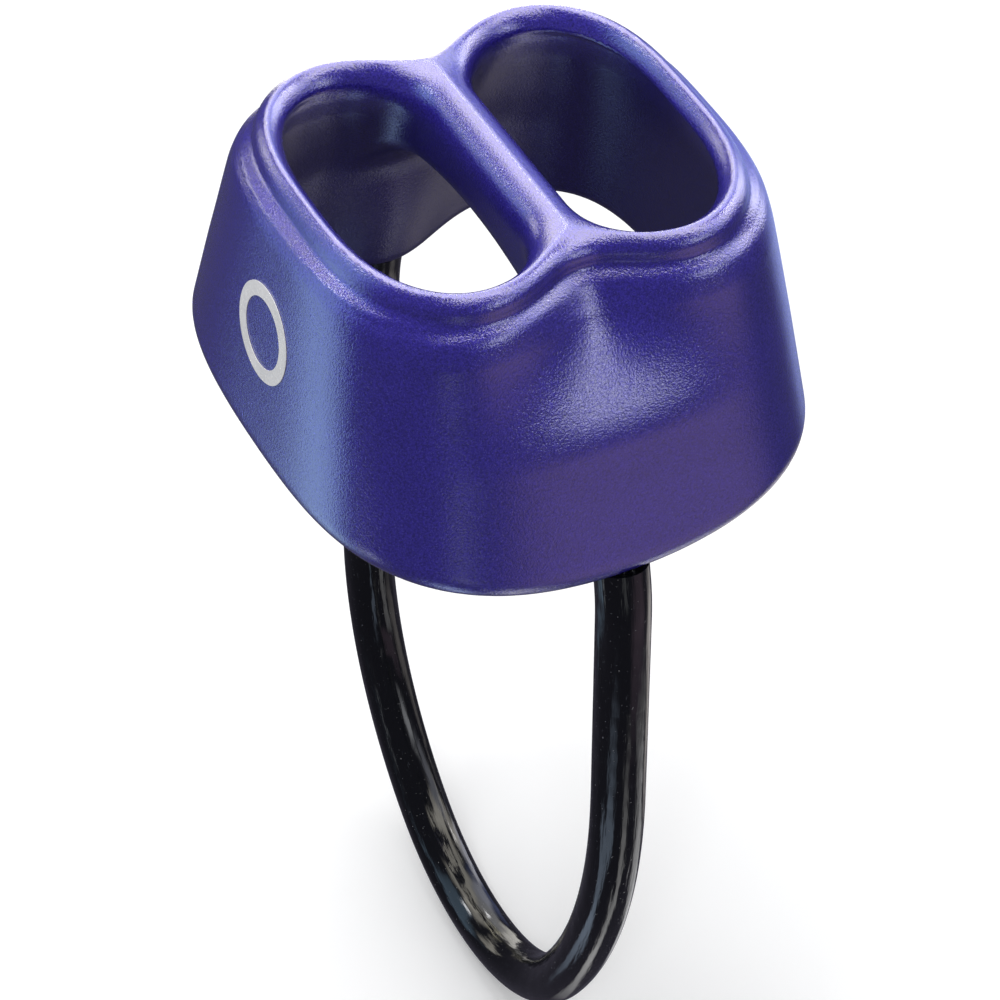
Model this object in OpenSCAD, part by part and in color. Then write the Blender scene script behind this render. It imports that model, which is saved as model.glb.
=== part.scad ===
// Tubular belay device: a forged aluminium body with two rope slots side by
// side, and a sheathed wire-rope keeper loop swaged into its underside.
// +Z is up through the slots, X runs across the two slots, Y runs along the
// divider bar. The origin is the centre of the body at the level where the
// front and rear walls end, which is where the keeper leaves the body.

/* [Body] */
// Height of the aluminium body
body_h = 28.4; // [27:0.1:29]
// Width across both slots at the lip
lip_x = 38.3; // [37:0.1:40]
// Length along the divider at the lip
lip_y = 38.9; // [37.5:0.1:40]
// Width of the skirt at the base
base_x = 46.9; // [45:0.1:49]
// Length of the skirt at the base
base_y = 52.1; // [50:0.1:53]
// Squareness of the lip's outline, 2 is an ellipse
lip_n = 2.95; // [2.4:0.05:3.3]
// Squareness of the base's outline
base_n = 3.8; // [3.2:0.05:4.2]
// Wall thickness at the left and right
wall_x = 2.9; // [2.6:0.1:3.4]
// Wall thickness at the front and rear
wall_y = 2.7; // [2.5:0.1:3.2]
// Height of the round bead of the lip above its shoulder
bead_h = 1.45; // [1.3:0.05:1.6]
// How far the shoulder stands out below the bead
bead_step = 0.8; // [0.4:0.1:1.2]
// Depth of the groove under the bead at the front and rear
groove_d = 0.5; // [0.2:0.1:0.7]
// How far the lower rim rises at the left and right
rim_rise_x = 5.5; // [4:0.1:6]
// How far the lower rim dips towards the front and rear
rim_rise_y = 3.0; // [1:0.1:4]

/* [Divider] */
// Width of the divider bar between the slots
divider_w = 5.0; // [4.4:0.1:5.8]
// Height of the divider's underside above the base at mid length
divider_z = 20.6; // [18:0.1:22]
// Size of the fillets between divider and wall
fillet = 5.3; // [4:0.1:6]

/* [Dent] */
// Depth of the front and rear dent at the lip
dent_d = 4.3; // [3:0.1:4.6]
// Half width of the dent at the lip
dent_w = 5.6; // [5:0.1:8]
// Share of the height the dent runs down
dent_reach = 0.52; // [0.4:0.01:0.6]

/* [Keeper] */
// Distance from the centre to each socket's mouth
socket_y = 23.3; // [23.2:0.1:23.4]
// Inward lean of each socket, along the flared wall
socket_lean = 14; // [13:0.5:15]
// Outer diameter of the plastic sheath
sheath_d = 4.85; // [4.6:0.05:5]
// Diameter of the stranded wire rope
rope_d = 2.8; // [2.6:0.1:2.9]
// Outer diameter of the swaged ferrule
ferrule_d = 3.5; // [3.4:0.05:3.6]
// Depth of each blind socket
socket_depth = 7.5; // [6:0.5:8.5]
// Outward lean of the front leg in degrees
front_lean = 1.9; // [1:0.05:2.4]
// Length of the front leg's straight run
front_run = 24; // [23.8:0.1:26]
// Radius of the front side of the bow
front_r = 61; // [57:0.1:65]
// Outward lean of the rear leg in degrees
rear_lean = 2.5; // [1.8:0.05:2.9]
// Length of the rear leg's straight run
rear_run = 33.7; // [32:0.1:35]
// Radius of the rear side of the bow
rear_r = 35.6; // [33:0.1:38]
// Radius of the bottom of the bow
bow_r = 19.1; // [17.5:0.1:20.5]

/* [Mark] */
// Diameter of the plain printed ring on the left flank
mark_d = 9; // [5:0.1:10]
// Thickness of the print
mark_t = 0.06; // [0.04:0.01:0.1]

/* [Mesh] */
// Number of sections around the wall
columns = 72; // [48:4:80]

/* [Hidden] */
$fn = 48;

body_col = "#3a2f8f";
sheath_col = "#15161a";
steel_col = "#b9bcc2";
ink_col = "#f2f2ee";

// Levels of the keeper's bending stations, below the base
bend_z = [-3, -7, -11];
sway_top_z = -15;
sway_low_z = -26.3;
bend_gap = 0.55;   // half of the gap at a sideways bend
sway_gap = 0.4;    // half of the gap at an in-plane pivot

// ---------- the body's outline, level by level ----------
function clamp01(t) = min(1, max(0, t));
function ease(t) = let (c = clamp01(t)) c*c*(3 - 2*c);
function power(t, n) = sign(t)*pow(abs(t), n);

band_z = body_h - bead_h;
// How far down the skirt a level is: 0 at the bead, 1 at the base
function drop(z) = min(1.2, max(0, (band_z - z)/band_z));
// The step under the bead is crisp on the flanks and soft on the front and rear walls
function shoulder_x(z) = ease((band_z - z)/1.1);
function shoulder_y(z) = ease((band_z - z)/4.2);
// Shallow groove that sets the bead off from the skirt
function groove(z) = exp(-pow((z - band_z + 0.95)/0.75, 2));
function half_x(z) = lip_x/2 + shoulder_x(z)*(bead_step + (base_x/2 - lip_x/2 - bead_step)*pow(drop(z), 0.65));
function half_y(z) = lip_y/2 + shoulder_y(z)*(bead_step + (base_y/2 - lip_y/2 - bead_step)*pow(drop(z), 1.24));
function square_n(z) = lip_n + (base_n - lip_n)*clamp01(drop(z));
function dent_left(z) = 1 - ease((drop(z) - 0.06)/(dent_reach - 0.06));
function dent_half(z) = dent_w*(1 - shoulder_y(z)) + shoulder_y(z)*(dent_w + 1.6 + 3*(1 - dent_left(z)));
// Width of the dent's rounded bottom: a crease near the bead that opens out below
function dent_soft(z) = 1.6 - 0.9*ease((band_z - z)/3) + 4*ease((drop(z) - 0.25)/0.35);
// How deep the dent is at x on level z
function dent(x, z) = let (s = dent_soft(z), t = sqrt(x*x + s*s) - s)
  dent_d*dent_left(z)*exp(-pow(t/dent_half(z), 1.45));
// Extra inward thickness of the front and rear walls around the sockets
function boss(x, z) = 3.2*ease(1 - z/24)*exp(-(x/6.7)*(x/6.7));
// Level of the lower rim: bowed, lowest at the front and rear walls
function rim_z(p) = rim_rise_x*(p.x/21.5)*(p.x/21.5) + rim_rise_y*((p.y/21.5)*(p.y/21.5) - 1.19);

// Point of the outer skin at angle t on level z
function outer_at(t, z) =
  let (n = 2/square_n(z), x = (half_x(z) - 0.55*groove_d*groove(z))*power(cos(t), n), b = half_y(z) - groove_d*groove(z))
  [x, (b - dent(x, z))*power(sin(t), n), z];
// Point of the inner skin at angle t on level z
function inner_at(t, z) =
  let (n = 2/square_n(z), x = (half_x(z) - wall_x)*power(cos(t), n), b = half_y(z) - wall_y)
  [x, (b - dent(x, z) - boss(x, z))*power(sin(t), n), z];

// One section through the wall at angle t, as a closed loop of points:
// up the outer skin, over the bead, down the inner skin and round the rim
top_z = band_z;
skirt_z = band_z - 4.2;
function levels(zb) = concat(
  [for (i = [0:7]) zb + (skirt_z - zb)*(1 - pow(1 - i/8, 1.1))],
  [skirt_z, band_z - 3, band_z - 2.1, band_z - 1.5, band_z - 0.95, band_z - 0.5, top_z]);
function wall_section(t) =
  let (zb = rim_z(outer_at(t, 3)) + 1.1, lv = levels(zb), n = len(lv),
       o = outer_at(t, top_z), q = inner_at(t, top_z), m = (o + q)/2,
       ob = outer_at(t, zb), qb = inner_at(t, zb), mb = (ob + qb)/2)
  concat(
    [for (z = lv) outer_at(t, z)],
    [for (k = [1:5]) let (a = 30*k) m + (o - m)*cos(a) + [0, 0, bead_h*sin(a) + 0.45*(m.x/21.5)*(m.x/21.5)]],
    [for (i = [n - 1:-1:0]) inner_at(t, lv[i])],
    [for (k = [1:3]) let (a = 45*k) mb + (qb - mb)*cos(a) - [0, 0, 1.05*sin(a)]]);

// Closed skin over a ring of closed sections
module ring_skin(sections) {
  m = len(sections); n = len(sections[0]);
  points = [for (c = sections) each c];
  faces = [for (i = [0:m - 1], j = [0:n - 1])
    let (a = i*n + j, b = i*n + (j + 1)%n, c = ((i + 1)%m)*n + (j + 1)%n, d = ((i + 1)%m)*n + j)
    each (norm(points[a] - points[c]) < norm(points[b] - points[d]) ? [[a, b, c], [a, c, d]] : [[a, b, d], [b, c, d]])];
  polyhedron(points = points, faces = faces, convexity = 8);
}
// Closed skin over a row of sections with flat-fanned ends
module row_skin(sections) {
  m = len(sections); n = len(sections[0]);
  mid0 = [for (p = sections[0]) 1]*sections[0]/n;
  mid1 = [for (p = sections[m - 1]) 1]*sections[m - 1]/n;
  points = concat([for (c = sections) each c], [mid0, mid1]);
  faces = concat(
    [for (i = [0:m - 2], j = [0:n - 1])
      let (a = i*n + j, b = i*n + (j + 1)%n, c = (i + 1)*n + (j + 1)%n, d = (i + 1)*n + j)
      each [[a, b, c], [a, c, d]]],
    [for (j = [0:n - 1]) [m*n, (j + 1)%n, j]],
    [for (j = [0:n - 1]) [m*n + 1, (m - 1)*n + j, (m - 1)*n + (j + 1)%n]]);
  polyhedron(points = points, faces = faces, convexity = 4);
}

// Angles of the wall's columns, drawn together at the middle of each side
function column_at(i) = let (t = 360*(i + 0.5)/columns) t - 6.5*sin(4*t);
module wall() { ring_skin([for (i = [0:columns - 1]) wall_section(column_at(i))]); }

// Divider bar, flared into the walls at both ends
function bar_end(z) = half_y(z) - dent(0, z) - wall_y - boss(0, z) + 1.2;
function bar_flare(s) = pow(max(0, (abs(s) - 0.62)/0.38), 2.2);
function bar_section(s) =
  let (y0 = abs(s)*bar_end(divider_z), hw = divider_w/2 + 0.55*fillet*bar_flare(s),
       lo = divider_z - 2.1*(y0/12.9)*(y0/12.9) - 0.35*fillet*bar_flare(s),
       hi = body_h + 0.4 - 0.5*bar_flare(s), c = (hi + lo)/2, h = (hi - lo)/2)
  [for (k = [0:23]) let (a = 15*k + 7.5, z = c + h*power(sin(a), 0.62))
    [hw*power(cos(a), 0.62), s*bar_end(z), z]];
module divider() { row_skin([for (i = [-9:9]) bar_section(power(i/9, 0.8))]); }

// Blind socket in the front (s = -1) or rear (s = 1) wall
module socket(s) {
  translate([0, s*socket_y, 0]) rotate([s*socket_lean, 0, 0])
    translate([0, 0, -4]) cylinder(d = ferrule_d, h = 4 + socket_depth);
}

module body() {
  color(body_col) difference() {
    union() { wall(); divider(); }
    socket(-1);
    socket(1);
  }
}

// ---------- printed mark: a plain ring on the left flank ----------
mark_z = 16;
mark_y = 0;
// Point of the left flank at y, z
function flank(y, z) = let (n = square_n(z), b = half_y(z) - dent(half_x(z), z))
  [-half_x(z)*pow(1 - pow(abs(y)/b, n), 1/n), y, z];
function flank_out(y, z) = let (e = 0.05, u = flank(y + e, z) - flank(y - e, z), v = flank(y, z + e) - flank(y, z - e),
  g = cross(v, u)) -g*sign(g.x)/norm(g);
module printed_mark() {
  rings = [mark_d/2, mark_d/2 - 1.3];
  m = 48;
  // inner and outer skins of a thin ring that follows the flank
  function spot(r, t, off) =
    let (y = mark_y + r*cos(t), z = mark_z + r*sin(t)) flank(y, z) + off*flank_out(y, z);
  pts = [for (i = [0:m - 1]) let (t = 360*i/m) each [
    spot(rings[0], t, 0.02), spot(rings[0], t, 0.02 + mark_t),
    spot(rings[1], t, 0.02 + mark_t), spot(rings[1], t, 0.02)]];
  fcs = [for (i = [0:m - 1], j = [0:3])
    let (a = 4*i + j, b = 4*i + (j + 1)%4, c = 4*((i + 1)%m) + (j + 1)%4, d = 4*((i + 1)%m) + j)
    each [[a, b, c], [a, c, d]]];
  color(ink_col) polyhedron(points = pts, faces = fcs, convexity = 4);
}

// ---------- the keeper's centre line, in the plane x = 0 ----------
// Points are [y, z]. Two straight legs, two wide side arcs and a bottom arc,
// each tangent to the next.
front_dir = [-sin(front_lean), -cos(front_lean)];
rear_dir = [sin(rear_lean), -cos(rear_lean)];
leg_y = socket_y - bend_z[0]*tan(socket_lean);
front_top = [-leg_y, bend_z[0]];
rear_top = [leg_y, bend_z[0]];
front_end = front_top + front_run*front_dir;
rear_end = rear_top + rear_run*rear_dir;
front_c = front_end + front_r*[cos(front_lean), -sin(front_lean)];
rear_c = rear_end + rear_r*[-cos(rear_lean), -sin(rear_lean)];
span_a = front_r - bow_r;
span_b = rear_r - bow_r;
span = norm(rear_c - front_c);
span_u = (rear_c - front_c)/span;
span_x = (span*span + span_a*span_a - span_b*span_b)/(2*span);
span_h = sqrt(span_a*span_a - span_x*span_x);
bow_hi = front_c + span_u*span_x + span_h*[span_u[1], -span_u[0]];
bow_lo = front_c + span_u*span_x - span_h*[span_u[1], -span_u[0]];
bow_c = bow_hi[1] < bow_lo[1] ? bow_hi : bow_lo;
function bearing(c, p) = atan2(p[1] - c[1], p[0] - c[0]);
function turn(a) = a < 0 ? a + 360 : a;
// angles, measured from +Y, where the arcs start and end
a_front = turn(bearing(front_c, front_end));
a_join_f = turn(bearing(front_c, bow_c));
a_join_r = turn(bearing(rear_c, bow_c));
a_rear = turn(bearing(rear_c, rear_end)) < 90 ? turn(bearing(rear_c, rear_end)) + 360 : turn(bearing(rear_c, rear_end));
// point of a leg at level z
function front_at(z) = front_top + front_dir*max(0, (bend_z[0] - z)/cos(front_lean)) + max(0, z - bend_z[0])*[tan(socket_lean), 1];
function rear_at(z) = rear_top + rear_dir*max(0, (bend_z[0] - z)/cos(rear_lean)) + max(0, z - bend_z[0])*[-tan(socket_lean), 1];

// ---------- sections of the keeper ----------
lay = rope_d/3;      // diameter of one strand
sheath_bore = rope_d + 0.06;
// kind 0: plastic sheath, 1: core strand, 2: six outer strands; g grows each
module section(kind, g = 0) {
  if (kind == 0) difference() { circle(d = sheath_d + g); circle(d = sheath_bore - g); }
  if (kind == 1) circle(d = lay - 0.04 + g);
  if (kind == 2) for (i = [0:5]) rotate(60*i) translate([lay, 0]) circle(d = lay - 0.04 + g);
}
// Straight run between two points [y, z] of the plane x = 0
module run(p, q, kind) {
  d = q - p;
  translate([0, p[0], p[1]]) rotate([atan2(-d[0], d[1]), 0, 0])
    linear_extrude(height = norm(d)) section(kind);
}
// Arc about c from angle a to b
module arc(c, r, a, b, kind) {
  translate([0, c[0], c[1]]) rotate([90, 0, 90]) rotate(a)
    rotate_extrude(angle = b - a) translate([r, 0]) section(kind);
}
// Hair-proud tie at p that joins two runs into one; a is the run's heading
module tie(p, a, kind) {
  translate([0, p[0], p[1]]) rotate([90, 0, 90]) rotate(a) rotate([90, 0, 0])
    linear_extrude(height = 0.4, center = true) section(kind, kind == 0 ? 0.02 : 0.01);
}
module keeper_col(kind) { color(kind == 0 ? sheath_col : steel_col) children(); }

// Both legs between two levels
module leg_pair(z0, z1, kind) {
  keeper_col(kind) {
    run(front_at(z1), front_at(z0), kind);
    run(rear_at(z1), rear_at(z0), kind);
  }
}
top_of_rope = (socket_depth - 0.4)*cos(socket_lean);
module root_piece(kind) {
  leg_pair(kind == 0 ? -0.12 : top_of_rope, bend_z[0] + bend_gap, kind);
}
module a_piece(kind) { leg_pair(bend_z[0] - bend_gap, bend_z[1] + bend_gap, kind); }
module b_piece(kind) { leg_pair(bend_z[1] - bend_gap, bend_z[2] + bend_gap, kind); }
module c_piece(kind) { leg_pair(bend_z[2] - bend_gap, sway_top_z + sway_gap, kind); }
module front_piece(kind) {
  keeper_col(kind) run(front_at(sway_low_z + sway_gap), front_at(sway_top_z - sway_gap), kind);
}
module rear_piece(kind) {
  keeper_col(kind) run(rear_at(sway_low_z + sway_gap), rear_at(sway_top_z - sway_gap), kind);
}
seam = 0.4;   // angle left free on each side of the seam at the bottom
module front_bow_piece(kind) {
  keeper_col(kind) union() {
    run(front_end, front_at(sway_low_z - sway_gap), kind);
    arc(front_c, front_r, a_front, a_join_f, kind);
    arc(bow_c, bow_r, a_join_f, 270 - seam, kind);
    tie(front_end, a_front, kind);
    tie(front_c + front_r*[cos(a_join_f), sin(a_join_f)], a_join_f, kind);
  }
}
module rear_bow_piece(kind) {
  keeper_col(kind) union() {
    arc(bow_c, bow_r, 270 + seam, a_join_r, kind);
    arc(rear_c, rear_r, a_join_r, a_rear, kind);
    run(rear_end, rear_at(sway_low_z - sway_gap), kind);
    tie(rear_c + rear_r*[cos(a_join_r), sin(a_join_r)], a_join_r, kind);
    tie(rear_end, a_rear, kind);
  }
}

// Swaged steel sleeve on the rope's end, inside the socket
module ferrule(s) {
  color(steel_col) translate([0, s*socket_y, 0]) rotate([s*socket_lean, 0, 0])
    translate([0, 0, 0.7]) difference() {
      cylinder(d = ferrule_d - 0.02, h = socket_depth - 0.9);
      translate([0, 0, -1]) cylinder(d = rope_d + 0.04, h = socket_depth + 2);
    }
}
module front_ferrule() { ferrule(-1); }
module rear_ferrule() { ferrule(1); }

body();
printed_mark();
front_ferrule();
rear_ferrule();
root_piece(0);  // sheath_root
root_piece(1);  // core_strand_root
root_piece(2);  // outer_strands_root
a_piece(0);  // sheath_a
a_piece(1);  // core_strand_a
a_piece(2);  // outer_strands_a
b_piece(0);  // sheath_b
b_piece(1);  // core_strand_b
b_piece(2);  // outer_strands_b
c_piece(0);  // sheath_c
c_piece(1);  // core_strand_c
c_piece(2);  // outer_strands_c
front_piece(0);  // sheath_front_leg
front_piece(1);  // core_strand_front_leg
front_piece(2);  // outer_strands_front_leg
rear_piece(0);  // sheath_rear_leg
rear_piece(1);  // core_strand_rear_leg
rear_piece(2);  // outer_strands_rear_leg
front_bow_piece(0);  // sheath_front_bow
front_bow_piece(1);  // core_strand_front_bow
front_bow_piece(2);  // outer_strands_front_bow
rear_bow_piece(0);  // sheath_rear_bow
rear_bow_piece(1);  // core_strand_rear_bow
rear_bow_piece(2);  // outer_strands_rear_bow
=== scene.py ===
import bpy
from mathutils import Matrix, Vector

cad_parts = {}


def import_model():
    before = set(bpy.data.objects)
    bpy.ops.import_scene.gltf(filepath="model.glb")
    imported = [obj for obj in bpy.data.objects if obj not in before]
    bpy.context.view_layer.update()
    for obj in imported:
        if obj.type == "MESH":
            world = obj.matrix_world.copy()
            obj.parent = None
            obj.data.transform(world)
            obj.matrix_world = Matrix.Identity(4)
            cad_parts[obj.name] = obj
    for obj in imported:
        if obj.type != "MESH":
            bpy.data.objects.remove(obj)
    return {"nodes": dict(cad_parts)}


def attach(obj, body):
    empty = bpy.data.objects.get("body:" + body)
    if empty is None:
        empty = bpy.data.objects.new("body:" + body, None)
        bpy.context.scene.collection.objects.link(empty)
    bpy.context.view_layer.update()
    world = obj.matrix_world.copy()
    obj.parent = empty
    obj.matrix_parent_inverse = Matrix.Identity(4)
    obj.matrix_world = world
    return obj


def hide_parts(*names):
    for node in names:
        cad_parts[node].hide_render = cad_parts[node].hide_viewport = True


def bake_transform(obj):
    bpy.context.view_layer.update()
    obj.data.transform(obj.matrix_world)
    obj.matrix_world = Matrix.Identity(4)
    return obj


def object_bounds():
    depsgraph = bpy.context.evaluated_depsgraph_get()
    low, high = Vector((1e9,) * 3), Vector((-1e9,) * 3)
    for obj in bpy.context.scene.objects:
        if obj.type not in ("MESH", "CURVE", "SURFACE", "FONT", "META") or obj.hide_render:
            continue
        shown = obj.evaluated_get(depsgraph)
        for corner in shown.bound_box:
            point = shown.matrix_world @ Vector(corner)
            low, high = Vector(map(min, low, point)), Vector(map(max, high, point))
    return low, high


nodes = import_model()["nodes"]
CAD_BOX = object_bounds()

import math

import bpy
import numpy as np
from mathutils import Matrix, Vector

MM = 0.001

# Shared by the body's sockets and the cable's ends
SOCKET_Y = 23.3  # distance of each socket from the middle, at z = 0
LEAN = math.radians(14)  # the sockets lean inwards as they rise


def point_attribute(mesh, name, values):
    is_vector = values.ndim == 2
    layer = mesh.attributes.new(name, "FLOAT_VECTOR" if is_vector else "FLOAT", "POINT")
    field = "vector" if is_vector else "value"
    layer.data.foreach_set(field, values.astype(np.float32).ravel())


def new_object(name, mesh):
    ob = bpy.data.objects.new(name, mesh)
    bpy.context.scene.collection.objects.link(ob)
    return ob


def smooth_object(name, points, faces):
    """Smooth-shaded object from points in mm, which are also kept as 'rest'."""
    points = np.asarray(points)
    mesh = bpy.data.meshes.new(name)
    mesh.from_pydata((points * MM).tolist(), [], np.asarray(faces).tolist())
    mesh.validate()
    mesh.shade_smooth()
    ob = new_object(name, mesh)
    point_attribute(mesh, "rest", points)
    return ob


# ------------------------------------------------------------------ body field
# The surface is the zero level of a field in millimetres, negative inside the metal.
TOP = 28.87
BAND = 26.95  # height where the lip band ends and the flare begins
LIP_X, LIP_Y = 19.15, 19.45  # half sizes of the outline at the lip
BASE_X, BASE_Y = 23.45, 26.05  # and at z = 0
FLARE_STEP = 0.8  # first step outwards, just below the band
STEP_RUN_X, STEP_RUN_Y = 1.1, 4.2  # height over which the step eases in
FLARE_POWER_X, FLARE_POWER_Y = 0.65, 1.24
GROOVE_Z, GROOVE_WIDTH = 26.0, 0.75
GROOVE_X, GROOVE_Y = 0.30, 0.55  # groove depth at the sides, at front and rear
SQUARE_LIP, SQUARE_GAIN = 2.95, 0.85  # superellipse power at the lip, gain to the base

# Dent in the middle of the front and rear walls, fading towards the base
DENT_DEPTH, DENT_POWER = 4.3, 1.45
DENT_LIP_WIDTH, DENT_WIDTH, DENT_SPREAD = 5.6, 7.2, 3.0
DENT_FADE_START, DENT_FADE_RUN = 0.06, 0.46  # fractions of the way down
DENT_FLOOR, FLOOR_LOSS, FLOOR_LOSS_RUN = 1.6, 0.9, 3.0  # width of its flat bottom
FLOOR_GAIN, FLOOR_GAIN_START, FLOOR_GAIN_RUN = 4.0, 0.25, 0.35
INNER_FLOOR_EXTRA = 1.2

WALL_X, WALL_Y = 2.9, 2.7
BOSS_DEPTH, BOSS_TOP, BOSS_WIDTH = 3.2, 24, 6.7  # thicker wall around the sockets
BAR_HALF = 2.5
BAR_UNDER, BAR_DROP, BAR_DROP_Y = 20.6, 2.1, 12.9  # arched underside of the bar
CURVE_AT = 21.5  # distance at which the rises below are given
TOP_RISE = 0.45
RIM_RISE_X, RIM_RISE_Y, RIM_LEVEL = 5.5, 3.0, 1.19
BORE_RADIUS, BORE_DEPTH = 1.76, 7.5

# Widths of the blends that make the fillets
BAR_EDGE, BAR_TO_WALL, OUTER_EDGE = 2.6, 5.3, 0.6
TOP_EDGE, RIM_EDGE, BORE_EDGE = 3.9, 2.4, 0.2


def ease(t):
    c = np.clip(t, 0, 1)
    return c * c * (3 - 2 * c)


def blend_max(a, b, width):
    h = np.maximum(width - np.abs(a - b), 0) / width
    return np.maximum(a, b) + h * h * width * 0.25


def blend_min(a, b, width):
    return -blend_max(-a, -b, width)


def outline(x, y, half_x, half_y, power, depth, width, flat):
    """Rough distance outside a dented superellipse; the dent's bottom is flat wide."""
    across = np.sqrt(x * x + flat * flat) - flat
    dented = half_y - depth * np.exp(-((across / width) ** DENT_POWER))
    q = (np.abs(x / half_x) ** power + np.abs(y / dented) ** power) ** (1 / power) + 1e-4
    return np.sqrt(x * x + y * y + 1e-4) * (1 - 1 / q)


def section_at(z):
    """Outline measures at height z, and how far z is in the groove."""
    below = BAND - z
    down = np.clip(below / BAND, 0, 1.4)
    step_x = ease(below / STEP_RUN_X)
    step_y = ease(below / STEP_RUN_Y)
    groove = np.exp(-(((z - GROOVE_Z) / GROOVE_WIDTH) ** 2))
    flare_x = FLARE_STEP + (BASE_X - LIP_X - FLARE_STEP) * down**FLARE_POWER_X
    flare_y = FLARE_STEP + (BASE_Y - LIP_Y - FLARE_STEP) * down**FLARE_POWER_Y
    half_x = LIP_X - GROOVE_X * groove + step_x * flare_x
    half_y = LIP_Y - GROOVE_Y * groove + step_y * flare_y
    power = SQUARE_LIP + SQUARE_GAIN * np.clip(down, 0, 1)
    left = 1 - ease((down - DENT_FADE_START) / DENT_FADE_RUN)
    depth = DENT_DEPTH * left
    width = DENT_LIP_WIDTH * (1 - step_y) + step_y * (DENT_WIDTH + DENT_SPREAD * (1 - left))
    widening = FLOOR_GAIN * ease((down - FLOOR_GAIN_START) / FLOOR_GAIN_RUN)
    flat = DENT_FLOOR - FLOOR_LOSS * ease(below / FLOOR_LOSS_RUN) + widening
    return half_x, half_y, power, depth, width, flat, groove


def metal(p):
    x, y, z = p[..., 0], p[..., 1], p[..., 2]
    half_x, half_y, power, depth, width, flat, groove = section_at(z)
    outer = outline(x, y, half_x, half_y, power, depth, width, flat)
    boss = BOSS_DEPTH * ease(1 - z / BOSS_TOP) * np.exp(-((x / BOSS_WIDTH) ** 2))
    # the groove is only outside, so the inner wall leaves it out
    inner_x = half_x + GROOVE_X * groove - WALL_X
    inner_y = half_y + GROOVE_Y * groove - WALL_Y - boss
    inner = outline(x, y, inner_x, inner_y, power, depth, width, flat + INNER_FLOOR_EXTRA)
    under = BAR_UNDER - BAR_DROP * (y / BAR_DROP_Y) ** 2
    bar = blend_max(np.abs(x) - BAR_HALF, under - z, BAR_EDGE)
    solid = blend_max(blend_min(-inner, bar, BAR_TO_WALL), outer, OUTER_EDGE)
    solid = blend_max(solid, z - TOP - TOP_RISE * (x / CURVE_AT) ** 2, TOP_EDGE)
    rim = RIM_RISE_X * (x / CURVE_AT) ** 2 + RIM_RISE_Y * ((y / CURVE_AT) ** 2 - RIM_LEVEL)
    solid = blend_max(solid, rim - z, RIM_EDGE)
    # blind sockets for the swaged ends, leaning with the wall
    out = np.abs(y) - SOCKET_Y
    along = -out * math.sin(LEAN) + z * math.cos(LEAN)
    across = out * math.cos(LEAN) + z * math.sin(LEAN)
    bore = np.maximum(np.sqrt(x * x + across * across) - BORE_RADIUS, along - BORE_DEPTH)
    return blend_max(solid, -bore, BORE_EDGE)


def gradient(p, reach=0.01):
    slope = np.empty_like(p)
    for i in range(3):
        offset = np.zeros(3)
        offset[i] = reach
        slope[..., i] = (metal(p + offset) - metal(p - offset)) / (2 * reach)
    return slope


# ------------------------------------------------------------------ body mesh
# One point per grid cell that the surface crosses, one quad per grid edge it crosses.
GRID_LOW = np.array([-25.0, -27.4, -1.8])
GRID_HIGH = np.array([25.0, 27.4, 30.4])
GRID_STEP, QUICK_STEP = 0.4, 0.8


def sample_field(step):
    """Field on a grid centred in x and y, and the grid's lowest corner."""
    size = np.ceil((GRID_HIGH - GRID_LOW) / step).astype(int) + 1
    corner = np.array([-(size[0] - 1) / 2 * step, -(size[1] - 1) / 2 * step, GRID_LOW[2]])
    axes = [corner[i] + np.arange(size[i]) * step for i in range(3)]
    return metal(np.stack(np.meshgrid(*axes, indexing="ij"), -1)), corner


def crossed_cells(solid):
    """Cells with corners on both sides, and a grid of their numbers."""
    size = np.array(solid.shape)
    count = np.zeros(size - 1, int)
    for a, b, c in np.ndindex(2, 2, 2):
        count += solid[a : size[0] - 1 + a, b : size[1] - 1 + b, c : size[2] - 1 + c]
    crossed = (count > 0) & (count < 8)
    cells = np.argwhere(crossed)
    number = -np.ones(size - 1, int)
    number[crossed] = np.arange(len(cells))
    return cells, number


def mean_crossings(field, cells):
    """Mean of the crossings on each cell's twelve edges, in grid steps."""
    total = np.zeros((len(cells), 3))
    hits = np.zeros(len(cells))
    for axis in range(3):
        u, v = [i for i in range(3) if i != axis]
        for a, b in np.ndindex(2, 2):
            start = np.zeros(3, int)
            start[u], start[v] = a, b
            end = start.copy()
            end[axis] = 1
            f0 = field[tuple((cells + start).T)]
            f1 = field[tuple((cells + end).T)]
            hit = (f0 < 0) != (f1 < 0)
            t = np.where(hit, f0 / np.where(hit, f0 - f1, 1), 0)
            total += (start + (end - start) * t[:, None]) * hit[:, None]
            hits += hit
    return cells + total / hits[:, None]


def crossing_quads(solid, number):
    size = solid.shape
    quads = []
    for axis in range(3):
        u, v = (axis + 1) % 3, (axis + 2) % 3
        lower = [slice(None)] * 3
        upper = [slice(None)] * 3
        lower[axis], upper[axis] = slice(0, -1), slice(1, None)
        e = np.argwhere(solid[tuple(lower)] != solid[tuple(upper)])
        inner = (e[:, u] > 0) & (e[:, v] > 0) & (e[:, u] < size[u] - 1) & (e[:, v] < size[v] - 1)
        e = e[inner]
        corners = []
        for du, dv in ((-1, -1), (0, -1), (0, 0), (-1, 0)):
            cell = e.copy()
            cell[:, u] += du
            cell[:, v] += dv
            corners.append(number[tuple(cell.T)])
        quad = np.stack(corners, 1)
        flip = ~solid[tuple(e.T)]
        quad[flip] = quad[flip][:, ::-1]
        quads.append(quad)
    return np.concatenate(quads)


def settle(p, times, step):
    """Moves points onto the surface, at most half a grid step at a time."""
    for _ in range(times):
        slope = gradient(p)
        distance = metal(p)
        move = slope * (distance / np.maximum((slope * slope).sum(-1), 0.05))[:, None]
        length = np.linalg.norm(move, axis=1)
        p = p - move * np.minimum(1, 0.5 * step / np.maximum(length, 1e-9))[:, None]
    return p


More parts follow.
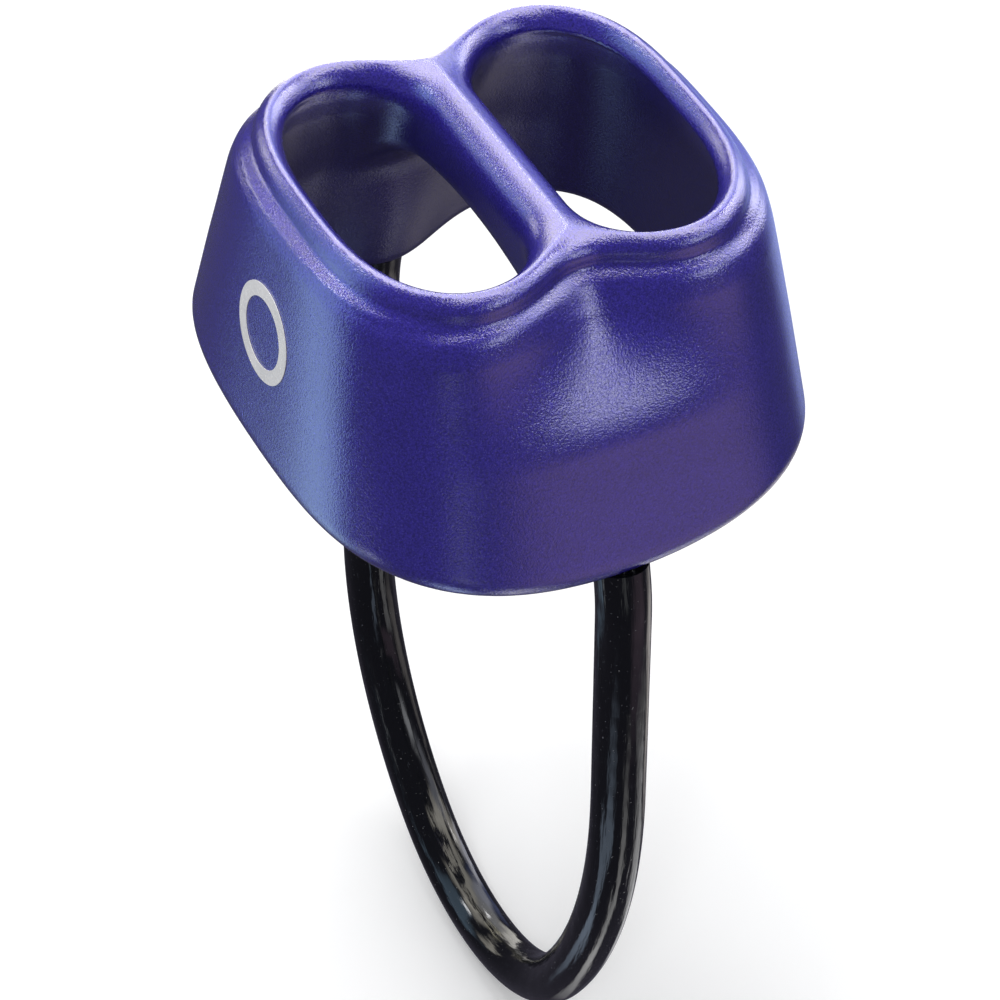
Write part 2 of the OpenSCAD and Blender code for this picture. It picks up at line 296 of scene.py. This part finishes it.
def even_out(points, faces, step):
    """Evens out the mesh along the surface."""
    edges = np.concatenate([faces[:, [i, (i + 1) % 4]] for i in range(4)])
    first, second = edges.T
    size = len(points)
    count = np.bincount(first, minlength=size) + np.bincount(second, minlength=size)
    for _ in range(4):
        total = np.zeros_like(points)
        for i in range(3):
            total[:, i] = np.bincount(first, points[second, i], minlength=size)
            total[:, i] += np.bincount(second, points[first, i], minlength=size)
        points = points + 0.5 * (total / count[:, None] - points)
        points = settle(points, 2, step)
    return points


def surface_mesh(step):
    field, corner = sample_field(step)
    solid = field < 0
    cells, number = crossed_cells(solid)
    points = settle(corner + mean_crossings(field, cells) * step, 3, step)
    faces = crossing_quads(solid, number)
    return even_out(points, faces, step), faces


def slot_depth(points, normals):
    """How far inside a slot each point lies, 0 to 1."""
    x, y, z = points.T
    away = np.hypot(x, y) + 1e-6
    # walls that face the axis, and the bar's own faces
    inward = ease(-(normals[:, 0] * x + normals[:, 1] * y) / away / 0.5)
    beside = ease((6.0 - np.abs(x)) / 2.0) * ease((18.0 - np.abs(y)) / 3.0) * 0.6
    return np.maximum(inward, beside) * ease((27.5 - z) / 6.0)


def build_shell():
    points, faces = surface_mesh(GRID_STEP)
    ob = smooth_object("anodised_body", points, faces)
    normals = gradient(points)
    normals /= np.linalg.norm(normals, axis=1)[:, None]
    ob.data.normals_split_custom_set_from_vertices(normals.tolist())
    # mask for the painted shade inside the slots
    point_attribute(ob.data, "inside", slot_depth(points, normals))
    return ob


shell = build_shell()

# ------------------------------------------------------------------ keeper line
# Centre line in the plane x = 0, as [y, z], from the front socket round to the rear one:
# straight legs that splay outwards, joined by three tangent arcs.
LEG_TOP = 3.0  # how far below z = 0 the legs begin
SOCKET_RISE = 8.0  # how far the ends reach up the socket from z = 0
FRONT_SPLAY, REAR_SPLAY = math.radians(1.9), math.radians(2.5)
FRONT_LENGTH, REAR_LENGTH = 24.0, 33.7
FRONT_R, LOW_R, REAR_R = 61.0, 19.1, 35.6
SPACING = 0.1
SMOOTH_SIGMA, SMOOTH_REACH = 1.5, 60  # in mm, in points


def angle_from(centre, p):
    t = math.atan2(p[1] - centre[1], p[0] - centre[0])
    return t if t > 0 else t + 2 * math.pi


def straight(p, q):
    k = int(np.linalg.norm(q - p) / SPACING)
    return [p + (q - p) * i / k for i in range(k)]


def arc(centre, r, start, end):
    k = max(2, int(abs(end - start) * r / SPACING))
    turns = [start + (end - start) * i / k for i in range(k)]
    return [centre + r * np.array([math.cos(t), math.sin(t)]) for t in turns]


def low_centre(front, rear):
    """Centre of the low arc, tangent inside the front and rear arcs."""
    a, b = FRONT_R - LOW_R, REAR_R - LOW_R
    gap = np.linalg.norm(rear - front)
    u = (rear - front) / gap
    x = (gap * gap + a * a - b * b) / (2 * gap)
    offset = math.sqrt(a * a - x * x) * np.array([u[1], -u[0]])
    return min([front + u * x + offset, front + u * x - offset], key=lambda c: c[1])


def centre_line():
    leg_y = SOCKET_Y + LEG_TOP * math.tan(LEAN)
    front_top, rear_top = np.array([-leg_y, -LEG_TOP]), np.array([leg_y, -LEG_TOP])
    cos_f, sin_f = math.cos(FRONT_SPLAY), math.sin(FRONT_SPLAY)
    cos_r, sin_r = math.cos(REAR_SPLAY), math.sin(REAR_SPLAY)
    front_end = front_top + FRONT_LENGTH * np.array([-sin_f, -cos_f])
    rear_end = rear_top + REAR_LENGTH * np.array([sin_r, -cos_r])
    front = front_end + FRONT_R * np.array([cos_f, -sin_f])
    rear = rear_end + REAR_R * np.array([-cos_r, -sin_r])
    low = low_centre(front, rear)
    front_meets_low = angle_from(front, low)
    low_meets_rear = angle_from(rear, low)
    rear_meets_leg = angle_from(rear, rear_end) + 2 * math.pi  # past a full turn
    up = np.array([math.sin(LEAN), math.cos(LEAN)])
    rise = SOCKET_RISE + LEG_TOP / math.cos(LEAN)
    front_in = front_top + rise * up
    rear_in = rear_top + rise * np.array([-up[0], up[1]])
    return np.array(
        straight(front_in, front_top)
        + straight(front_top, front_end)
        + arc(front, FRONT_R, angle_from(front, front_end), front_meets_low)
        + arc(low, LOW_R, front_meets_low, low_meets_rear)
        + arc(rear, REAR_R, low_meets_rear, rear_meets_leg)
        + straight(rear_end, rear_top)
        + straight(rear_top, rear_in)
        + [rear_in]
    )


def run_lengths(p):
    return np.r_[0, np.cumsum(np.linalg.norm(np.diff(p, axis=0), axis=1))]


def resample(p):
    s = run_lengths(p)
    t = np.linspace(0, s[-1], int(s[-1] / SPACING) + 1)
    return np.c_[np.interp(t, s, p[:, 0]), np.interp(t, s, p[:, 1])]


def soften(p):
    """Eases the turn below each socket, as a stiff cable takes it."""
    offsets = np.arange(-SMOOTH_REACH, SMOOTH_REACH + 1) * SPACING
    kernel = np.exp(-(offsets**2) / (2 * SMOOTH_SIGMA**2))
    kernel /= kernel.sum()
    ahead = np.arange(1, SMOOTH_REACH + 1)[:, None]
    before = p[:1] + (p[:1] - p[1:2]) * ahead[::-1]
    after = p[-1:] + (p[-1:] - p[-2:-1]) * ahead
    padded = np.concatenate([before, p, after])
    return np.c_[
        np.convolve(padded[:, 0], kernel, "valid"), np.convolve(padded[:, 1], kernel, "valid")
    ]


line_yz = soften(resample(centre_line()))
s_line = run_lengths(line_yz)
lowest = int(np.argmin(line_yz[:, 1]))


def s_at(level, rear):
    """Arc length where the front or rear side passes a height."""
    if rear:
        return float(np.interp(level, line_yz[lowest:, 1], s_line[lowest:]))
    z = line_yz[: lowest + 1, 1][::-1]
    return float(np.interp(level, z, s_line[: lowest + 1][::-1]))


def line_point(s):
    return np.array([np.interp(s, s_line, line_yz[:, 0]), np.interp(s, s_line, line_yz[:, 1])])


def line_direction(s, reach=0.15):
    chord = line_point(s + reach) - line_point(s - reach)
    return chord / np.linalg.norm(chord)


# ------------------------------------------------------------------ sheath
SHEATH_R = 2.425
SHEATH_BORE_R = 1.43
SEGMENTS = 56
RING_SPACING = 0.5
DOME = [math.radians(degrees) for degrees in range(4, 25, 4)]
DOME_REACH = SHEATH_R * math.sin(DOME[-1])
DOME_BORE_FLARE = 0.36

# The upper keeper turns at three bends; each blend reaches this far above and below one
BENDS = (-3.0, -7.0, -11.0)
FOLLOWED = ("device_body", "keeper_a", "keeper_b", "keeper_c")
# Heights of the cuts: the first four where both neighbours follow one body alone, the last
# two at the in-plane pivots, where a domed end sits in the next run
PIECES = ("root", "a", "b", "c", "leg", "bow")
CUTS = (0.2, *(bend - 2.0 for bend in BENDS), -15.0, -26.3)


def quad_strip(rings, flip):
    """Quads between neighbouring rings, each given by its first point's number."""
    faces = []
    for near, far in zip(rings, rings[1:]):
        for j in range(SEGMENTS):
            k = (j + 1) % SEGMENTS
            if flip:
                faces.append((near + j, far + j, far + k, near + k))
            else:
                faces.append((near + j, near + k, far + k, far + j))
    return faces


def turn_outward(mesh):
    """Flips the faces where needed so that the volume is positive."""
    co = np.zeros(len(mesh.vertices) * 3)
    mesh.vertices.foreach_get("co", co)
    quads = np.array([list(face.vertices) for face in mesh.polygons])
    a, b, c, d = (co.reshape(-1, 3)[quads[:, i]] for i in range(4))
    if (a * (np.cross(b, c) + np.cross(c, d))).sum() < 0:
        mesh.flip_normals()


def tube(name, start, end, dome):
    """Hollow tube along the centre line. dome ("start", "end" or None) rounds one end
    about its centre, so that it stays inside the next run when the joint there turns."""
    stations = np.linspace(start, end, int(round((end - start) / RING_SPACING)) + 1)
    angles = 2 * np.pi * np.arange(SEGMENTS) / SEGMENTS
    points, places = [], []

    def ring(s, r, ahead=0.0):
        t = line_direction(s)
        normal = np.array([t[1], -t[0]])
        p = line_point(s) + t * ahead
        first = len(points)
        for angle in angles:
            v = r * math.sin(angle)
            points.append((r * math.cos(angle), p[0] + normal[0] * v, p[1] + normal[1] * v))
            places.append((s + ahead, angle, r))
        return first

    outer = [ring(s, SHEATH_R) for s in stations]
    if dome == "end":
        outer += [ring(end, SHEATH_R * math.cos(f), SHEATH_R * math.sin(f)) for f in DOME]
    if dome == "start":
        cap = [ring(start, SHEATH_R * math.cos(f), -SHEATH_R * math.sin(f)) for f in DOME[::-1]]
        outer = cap + outer
    inner = [ring(s, SHEATH_BORE_R) for s in stations]
    if dome == "end":
        inner.append(ring(end, SHEATH_BORE_R + DOME_BORE_FLARE, DOME_REACH))
    if dome == "start":
        inner.insert(0, ring(start, SHEATH_BORE_R + DOME_BORE_FLARE, -DOME_REACH))

    faces = quad_strip(outer, flip=False) + quad_strip(inner, flip=True)
    for o, n, flip in ((outer[0], inner[0], False), (outer[-1], inner[-1], True)):
        for j in range(SEGMENTS):
            k = (j + 1) % SEGMENTS
            face = (o + j, n + j, n + k, o + k)
            faces.append(face[::-1] if flip else face)
    ob = smooth_object(name, points, faces)
    mesh = ob.data

    # "path" unrolls the tube; "run" is the cross-section in x and y, length in z
    uv_layer = mesh.uv_layers.new(name="path")
    length, angle, radius = np.array(places).T
    loops = np.zeros(len(mesh.loops), int)
    mesh.loops.foreach_get("vertex_index", loops)
    uv = np.c_[length[loops] * 0.01, angle[loops] / (2 * np.pi)]
    uv_layer.data.foreach_set("uv", uv.astype(np.float32).ravel())
    run = np.c_[radius * np.cos(angle), radius * np.sin(angle), length]
    point_attribute(mesh, "run", run)

    sharp = set()
    for first in (outer[0], outer[-1], inner[0], inner[-1]):
        for j in range(SEGMENTS):
            sharp.add(tuple(sorted((first + j, first + (j + 1) % SEGMENTS))))
    for edge in mesh.edges:
        if tuple(sorted(edge.vertices)) in sharp:
            edge.use_edge_sharp = True
    turn_outward(mesh)
    return ob


def sheath_piece(side, index):
    rear = side == "rear"
    piece = PIECES[index]
    upper = s_at(CUTS[index], rear)
    lower = s_line[lowest] if piece == "bow" else s_at(CUTS[index + 1], rear)
    dome = None
    if piece in ("c", "leg"):
        dome = "start" if rear else "end"
    ob = tube(f"sheath_{side}_{piece}", min(upper, lower), max(upper, lower), dome)
    one_sided = piece in ("leg", "bow")
    if index < len(BENDS):
        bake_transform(ob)
    else:
        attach(ob, f"{side}_{piece}" if one_sided else FOLLOWED[-1])
    # the frame has one upper sheath for both sides, so the front pieces stand for it
    if one_sided:
        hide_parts(f"sheath_{side}_{piece}")
    elif not rear:
        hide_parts(f"sheath_{piece}")
    return ob


sheath_pieces = [sheath_piece(side, i) for side in ("front", "rear") for i in range(len(PIECES))]

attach(shell, "device_body")
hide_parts("body")


# ------------------------------------------------------------------ node helpers
class Graph:
    """Short calls that add shader nodes. Inputs take a value or another node's output."""

    def __init__(self, tree, output):
        tree.nodes.clear()
        self.tree = tree
        self.output = self.node(output)

    def fill(self, node, inputs):
        for key, value in inputs.items():
            if isinstance(value, bpy.types.NodeSocket):
                self.tree.links.new(value, node.inputs[key])
            elif value is not None:
                node.inputs[key].default_value = value

    def node(self, kind, inputs=None, **settings):
        node = self.tree.nodes.new(kind)
        for key, value in settings.items():
            setattr(node, key, value)
        self.fill(node, inputs or {})
        return node

    def finish(self, shader):
        self.fill(self.output, {0: shader})

    def attribute(self, name, output="Vector"):
        return self.node("ShaderNodeAttribute", attribute_name=name).outputs[output]

    def coords(self, output):
        return self.node("ShaderNodeTexCoord").outputs[output]

    def noise(self, vector, scale, detail, rough=0.5, distortion=0.0):
        inputs = {"Vector": vector, "Scale": scale, "Detail": detail}
        inputs.update({"Roughness": rough, "Distortion": distortion})
        return self.node("ShaderNodeTexNoise", inputs).outputs[0]

    def remap(self, value, span, to=(0.0, 1.0)):
        inputs = dict(enumerate((value, *span, *to)))
        return self.node("ShaderNodeMapRange", inputs).outputs[0]

    def math(self, operation, a, b=None):
        return self.node("ShaderNodeMath", {0: a, 1: b}, operation=operation).outputs[0]

    def vector(self, operation, a, b):
        return self.node("ShaderNodeVectorMath", {0: a, 1: b}, operation=operation).outputs[0]

    def scaled(self, vector, factor):
        inputs = {0: vector, "Scale": factor}
        return self.node("ShaderNodeVectorMath", inputs, operation="SCALE").outputs[0]

    def mix(self, factor, a, b):
        inputs = {0: factor, 6: a, 7: b}
        return self.node("ShaderNodeMix", inputs, data_type="RGBA").outputs[2]

    def mix_shader(self, factor, a, b):
        return self.node("ShaderNodeMixShader", {0: factor, 1: a, 2: b}).outputs[0]

    def bump(self, height, strength, distance):
        inputs = {"Strength": strength, "Distance": distance, "Height": height}
        return self.node("ShaderNodeBump", inputs).outputs[0]


def new_material(name):
    mat = bpy.data.materials.new(name)
    mat.use_nodes = True
    g = Graph(mat.node_tree, "ShaderNodeOutputMaterial")
    bsdf = g.node("ShaderNodeBsdfPrincipled")
    g.finish(bsdf.outputs[0])
    return mat, g, bsdf


def dress(ob, mat):
    ob.data.materials.clear()
    ob.data.materials.append(mat)


# ------------------------------------------------------------------ materials
def anodised_aluminium():
    """Anodised, bead-blasted aluminium; inside the slots a painted shade darkens the base colour and
    thins the coat.
    """
    mat, g, bsdf = new_material("anodised_aluminium")
    dye_a, dye_b = (0.027, 0.018, 0.27, 1), (0.033, 0.022, 0.31, 1)
    # the near-black purple below is painted shade for the slot interiors
    grazing, glint, slot_painted_shade = (0.040, 0.030, 0.31, 1), (0.15, 0.15, 0.5, 1), (0.011, 0.006, 0.040, 1)
    rest = g.attribute("rest")
    pebble = g.noise(rest, scale=5.2, detail=2.0, rough=0.55, distortion=0.3)
    fine = g.noise(rest, scale=9.5, detail=2.0)
    broad = g.noise(rest, scale=0.16, detail=3.0, distortion=0.6)
    facing = g.node("ShaderNodeLayerWeight", {"Blend": 0.35}).outputs["Facing"]
    colour = g.mix(g.remap(broad, span=(0.35, 0.65)), dye_a, dye_b)
    colour = g.mix(facing, colour, grazing)
    colour = g.mix(g.remap(fine, span=(0.56, 0.74), to=(0.0, 0.30)), colour, glint)
    colour = g.scaled(colour, g.remap(pebble, span=(0.30, 0.70), to=(0.62, 1.38)))
    # painted shade: towards the inside of the slots the base colour goes near-black and the coat
    # weakens
    slot_shade = g.attribute("inside", "Fac")
    height = g.math("ADD", pebble, g.math("MULTIPLY", fine, 0.3))
    bump = g.bump(height, strength=0.8, distance=0.000042)
    g.fill(bsdf, {
        "Base Color": g.mix(g.math("MULTIPLY", slot_shade, 0.72), colour, slot_painted_shade),
        "Metallic": 0.36,
        "Roughness": g.remap(pebble, span=(0.3, 0.7), to=(0.30, 0.40)),
        "Specular IOR Level": 0.1,
        "Coat Weight": g.remap(slot_shade, span=(0.0, 1.0), to=(1.0, 0.35)),
        "Coat Roughness": 0.12,
        "Coat IOR": 2.0,
        "Normal": bump,
        "Coat Normal": bump,
    })
    return mat


def sheath_plastic():
    """Glossy black plastic, with scuffs and pale specks."""
    mat, g, bsdf = new_material("sheath_plastic")
    black, scuffed, pale = (0.004, 0.0045, 0.006, 1), (0.022, 0.024, 0.030, 1), (0.16, 0.16, 0.17, 1)
    run = g.attribute("run")

    def run_noise(across, along, **settings):
        stretched = g.vector("MULTIPLY", run, (across, across, along))
        return g.noise(stretched, scale=1.0, **settings)

    swell = run_noise(across=0.30, along=0.035, detail=1.5, distortion=0.3)
    streak = run_noise(across=1.5, along=0.16, detail=3.0, rough=0.6)
    speck = run_noise(across=3.4, along=3.4, detail=2.0, rough=0.6)
    scuffs = run_noise(across=3.0, along=0.7, detail=3.0, rough=0.65)
    # the lay of the wires shows faintly through the sheath
    x, y, z = g.node("ShaderNodeSeparateXYZ", {0: run}).outputs
    strands = g.math("MULTIPLY", g.math("ARCTAN2", y, x), 6.0)
    twist = g.math("MULTIPLY", z, 2.1)
    lay = g.math("SINE", g.math("ADD", strands, twist))
    scuff = g.remap(scuffs, span=(0.64, 0.74))
    dot = g.remap(speck, span=(0.70, 0.76))
    gloss = g.remap(streak, span=(0.35, 0.7), to=(0.05, 0.15))
    # share of each layer in the relief
    height = g.math("ADD", g.math("MULTIPLY", streak, 0.07), g.math("MULTIPLY", swell, 0.9))
    for layer, share in ((lay, 0.006), (dot, 0.03)):
        height = g.math("ADD", height, g.math("MULTIPLY", layer, share))
    g.fill(bsdf, {
        "Base Color": g.mix(dot, g.mix(scuff, black, scuffed), pale),
        "Roughness": g.math("ADD", gloss, g.math("MULTIPLY", scuff, 0.16)),
        "IOR": 1.44,
        "Normal": g.bump(height, strength=0.7, distance=0.0010),
    })
    return mat


def drawn_steel():
    """Drawn steel wire, streaked along z."""
    mat, g, bsdf = new_material("drawn_steel")
    dark, light = (0.42, 0.43, 0.45, 1), (0.68, 0.69, 0.70, 1)
    stretched = g.vector("MULTIPLY", g.coords("Object"), (4000.0, 4000.0, 300.0))
    drawn = g.noise(stretched, scale=1.0, detail=3.0, rough=0.6)
    g.fill(bsdf, {
        "Base Color": g.mix(drawn, dark, light),
        "Metallic": 1.0,
        "Roughness": g.remap(drawn, span=(0.3, 0.7), to=(0.22, 0.4)),
        "Normal": g.bump(drawn, strength=0.3, distance=0.00002),
    })
    return mat


def pad_print_ink():
    mat, g, bsdf = new_material("pad_print_ink")
    dull, bright = (0.80, 0.80, 0.79, 1), (0.90, 0.90, 0.89, 1)
    coords = g.coords("Object")
    grain = g.noise(coords, scale=2600.0, detail=3.0, rough=0.6)
    patch = g.noise(coords, scale=500.0, detail=2.0)
    g.fill(bsdf, {
        "Base Color": g.mix(g.remap(patch, span=(0.3, 0.7)), dull, bright),
        "Roughness": g.remap(grain, span=(0.3, 0.7), to=(0.45, 0.65)),
        "Normal": g.bump(grain, strength=0.5, distance=0.00006),
    })
    return mat


body_material = anodised_aluminium()
sheath_material = sheath_plastic()
steel_material = drawn_steel()
ink_material = pad_print_ink()

dress(shell, body_material)
for ob in sheath_pieces:
    dress(ob, sheath_material)
for name, ob in nodes.items():
    if name == "printed_mark":
        dress(ob, ink_material)
    elif name == "body":
        dress(ob, body_material)
    elif name.startswith("sheath"):
        dress(ob, sheath_material)
    else:
        dress(ob, steel_material)

# ------------------------------------------------------------------ studio
# Reflections see a darker studio than the camera does: a dim base colour with soft-edged
# boxes of light, some of them below the horizon.
STUDIO_BASE = (0.085, 0.080, 0.11)
EDGE_FADE = 5  # most that a box's lower and upper edges fade, in degrees
BOXES = (
    # azimuth from +x towards +y, half width, softness, colour, strength,
    # lowest and highest elevation; angles in degrees
    (105, 22, 8, (1.0, 0.96, 0.84), 3.6, 36, 60),
    (92, 9, 7, (1.0, 0.95, 0.72), 4.4, 20, 36),
    (50, 22, 10, (0.98, 0.985, 1.0), 2.4, 22, 54),
    (120, 6, 5, (1.0, 0.96, 0.84), 3.2, 0, 18),
    (68, 10, 5, (1.0, 0.97, 0.90), 4.0, -18, 20),
    (28, 14, 10, (0.40, 0.50, 1.0), 0.9, -34, 48),
    (141, 3, 2, (1.0, 1.0, 1.0), 16.0, 31, 37),
    (69, 3, 2, (1.0, 1.0, 1.0), 18.0, 38, 44),
    (356, 3, 2, (1.0, 1.0, 1.0), 14.0, 27, 33),
    (352, 10, 6, (1.0, 0.96, 0.86), 3.6, 13, 38),
    (14, 8, 6, (1.0, 0.99, 0.99), 3.6, -4, 28),
    (318, 10, 7, (1.0, 0.96, 0.86), 4.6, 38, 56),
    (330, 9, 7, (0.85, 0.88, 1.0), 2.0, 14, 40),
    (30, 140, 12, (1.0, 0.96, 0.84), 3.9, 54, 95),
    (297, 7, 7, (0.92, 0.95, 1.0), 3.9, 12, 25),
    (150, 9, 8, (0.50, 0.75, 1.0), 1.5, -50, 40),
    (357, 12, 12, (1.0, 0.94, 0.88), 0.8, -60, -38),
    (297, 15, 14, (1.0, 0.70, 0.90), 0.40, -40, -8),
    (230, 7, 5, (0.62, 0.78, 1.0), 1.5, -75, -46),
    (270, 5, 4, (1.0, 1.0, 0.99), 1.7, -75, -44),
    (316, 9, 6, (1.0, 1.0, 1.0), 1.3, -75, -46),
    (181, 3, 3, (0.85, 0.94, 1.0), 1.5, -42, -28),
    (250, 3, 3, (0.95, 1.0, 1.0), 0.6, -26, -12),
)


def studio(g, direction):
    """Colour of the studio seen along a direction."""
    x, y, z = g.node("ShaderNodeSeparateXYZ", {0: direction}).outputs
    squares = g.math("ADD", g.math("MULTIPLY", x, x), g.math("MULTIPLY", y, y))
    level = g.math("SQRT", squares)
    elevation = g.math("ARCTAN2", z, level)

    def ramp(value, start, end):
        return g.remap(value, span=(math.radians(start), math.radians(end)))

    total = None
    for azimuth, half, soft, colour, strength, lowest_el, highest_el in BOXES:
        cos_az, sin_az = math.cos(math.radians(azimuth)), math.sin(math.radians(azimuth))
        along = g.math("ADD", g.math("MULTIPLY", x, cos_az), g.math("MULTIPLY", y, sin_az))
        cosine = g.math("DIVIDE", along, g.math("MAXIMUM", level, 1e-4))
        clamped = g.math("MINIMUM", g.math("MAXIMUM", cosine, -1.0), 1.0)
        sideways = ramp(g.math("ARCCOSINE", clamped), half + soft, half)
        fade = min(EDGE_FADE, soft)
        above = ramp(elevation, lowest_el - fade, lowest_el + fade)
        below = ramp(elevation, highest_el + fade, highest_el - fade)
        inside = g.math("MULTIPLY", sideways, above)
        weight = g.math("MULTIPLY", inside, g.math("MULTIPLY", below, strength))
        light = g.scaled(colour, weight)
        total = light if total is None else g.vector("ADD", total, light)
    return g.vector("ADD", total, STUDIO_BASE)


def floor_material():
    """White to the camera, the studio to reflections, dull grey to other rays."""
    mat, g, bsdf = new_material("floor")
    g.fill(bsdf, {
        "Base Color": (0.93, 0.93, 0.935, 1),
        "Roughness": 0.95,
        "Specular IOR Level": 0.1,
        "Emission Color": (1, 1, 1, 1),
        "Emission Strength": 0.12,
    })
    quiet = g.node("ShaderNodeBsdfDiffuse", {"Color": (0.30, 0.29, 0.33, 1)})
    seen = g.node("ShaderNodeEmission", {"Color": studio(g, g.coords("Object"))})
    ray = g.node("ShaderNodeLightPath").outputs
    unseen = g.mix_shader(ray["Is Glossy Ray"], quiet.outputs[0], seen.outputs[0])
    g.finish(g.mix_shader(ray["Is Camera Ray"], unseen, bsdf.outputs[0]))
    mat.cycles.emission_sampling = "NONE"
    return mat


def build_floor(half=3.0, gap=0.0006):
    z = Vector(CAD_BOX[0]).z - gap
    mesh = bpy.data.meshes.new("floor")
    corners = [(-half, -half, z), (half, -half, z), (half, half, z), (-half, half, z)]
    mesh.from_pydata(corners, [], [(0, 1, 2, 3)])
    floor = new_object("floor", mesh)
    dress(floor, floor_material())


def build_world():
    """Even white fill, with the studio in reflections."""
    world = bpy.data.worlds.new("studio")
    bpy.context.scene.world = world
    world.use_nodes = True
    world.cycles.sampling_method = "NONE"
    g = Graph(world.node_tree, "ShaderNodeOutputWorld")
    fill = g.node("ShaderNodeBackground", {"Color": (1, 1, 1, 1), "Strength": 0.50})
    room = g.node("ShaderNodeBackground", {"Color": studio(g, g.coords("Generated"))})
    glossy = g.node("ShaderNodeLightPath").outputs["Is Glossy Ray"]
    g.finish(g.mix_shader(glossy, fill.outputs[0], room.outputs[0]))


def area_light(name, place, width, height, power, colour, target=(0, 0, 0.01)):
    light = bpy.data.lights.new(name, "AREA")
    light.energy = power
    light.color = colour
    light.shape = "RECTANGLE"
    light.size = width
    light.size_y = height
    ob = bpy.data.objects.new(name, light)
    ob.location = place
    aim = Vector(target) - Vector(place)
    ob.rotation_euler = aim.to_track_quat("-Z", "Y").to_euler()
    ob.visible_glossy = False
    bpy.context.scene.collection.objects.link(ob)


build_floor()
build_world()
area_light(
    "top_box", place=(-0.06, 0.10, 0.52), width=0.36, height=0.24, power=2.2, colour=(1, 1, 1)
)
area_light(
    "front_box",
    place=(-0.24, -0.40, 0.46),
    width=0.16,
    height=0.12,
    power=0.9,
    colour=(0.95, 0.97, 1.0),
)
bpy.context.scene.view_settings.view_transform = "Standard"

# ------------------------------------------------------------------ camera
# In front of the body, to its -x side and above; azimuth is measured from -y
AZIMUTH, ELEVATION, ROLL = (math.radians(v) for v in (-28.113, 40.959, 1.289))
CAMERA_TARGET = Vector((0, 0, 0.01006))
CAMERA_DISTANCE = 0.35262


def build_camera():
    cos_el = math.cos(ELEVATION)
    back = Vector(
        (math.sin(AZIMUTH) * cos_el, -math.cos(AZIMUTH) * cos_el, math.sin(ELEVATION))
    )
    right = Vector((math.cos(AZIMUTH), math.sin(AZIMUTH), 0))
    up = back.cross(right)
    rolled_right = right * math.cos(ROLL) + up * math.sin(ROLL)
    rolled_up = -right * math.sin(ROLL) + up * math.cos(ROLL)
    cam = bpy.data.cameras.new("camera")
    cam.sensor_width = 36.0
    cam.lens = 147.60972
    cam.shift_x = 0.00423
    cam.shift_y = -0.1893
    cam.clip_start = 0.01
    ob = bpy.data.objects.new("camera", cam)
    pose = Matrix((rolled_right, rolled_up, back)).transposed().to_4x4()
    pose.translation = CAMERA_TARGET + back * CAMERA_DISTANCE
    ob.matrix_world = pose
    bpy.context.scene.collection.objects.link(ob)
    bpy.context.scene.camera = ob


build_camera()
